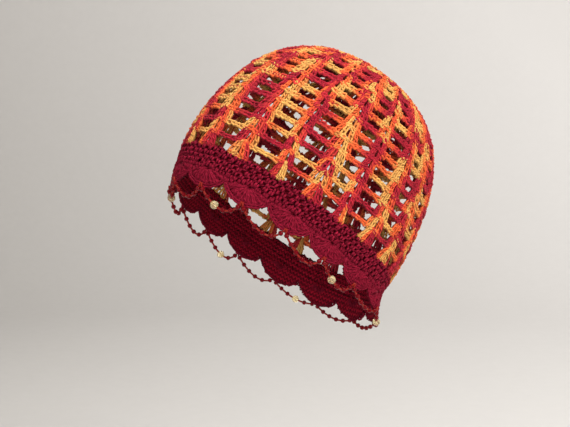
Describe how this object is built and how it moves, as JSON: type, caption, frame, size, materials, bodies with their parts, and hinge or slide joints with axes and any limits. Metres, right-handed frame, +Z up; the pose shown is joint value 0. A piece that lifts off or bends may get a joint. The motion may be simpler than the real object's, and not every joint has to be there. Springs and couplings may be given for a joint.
{
  "type": "crochet flapper hat",
  "caption": "Close-fitting openwork crochet cap with a solid band, a scalloped edge and short strings of beads hung from scallop to scallop.",
  "frame": {"origin": "middle of the head opening, level with the notches between the scallops on the hat's own axis: the head seat", "axes": "+Z up as worn, the wearer faces -Y, the wearer's left is +X; the hat's own axis leans 37 degrees back from +Z towards +Y"},
  "size_m": [0.1574, 0.2046, 0.2157],
  "materials": {
    "variegated_yarn": "variegated cotton yarn in crimson, orange and gold",
    "burgundy_yarn": "matt burgundy cotton yarn",
    "bead_glass": "glossy red glass seed and bugle beads with a few pale gold faceted beads"
  },
  "bodies": {
    "root": {"crown": "variegated_yarn", "band": "burgundy_yarn", "scallop_edging": "burgundy_yarn", "bead_string_01": "bead_glass", "bead_string_02": "bead_glass", "bead_string_03": "bead_glass", "bead_string_04": "bead_glass", "bead_string_05": "bead_glass", "bead_string_06": "bead_glass", "bead_string_07": "bead_glass", "bead_string_08": "bead_glass", "bead_string_09": "bead_glass", "bead_string_10": "bead_glass", "bead_string_11": "bead_glass", "bead_string_12": "bead_glass", "bead_string_13": "bead_glass", "bead_string_14": "bead_glass", "bead_string_15": "bead_glass"}
  },
  "joints": []
}
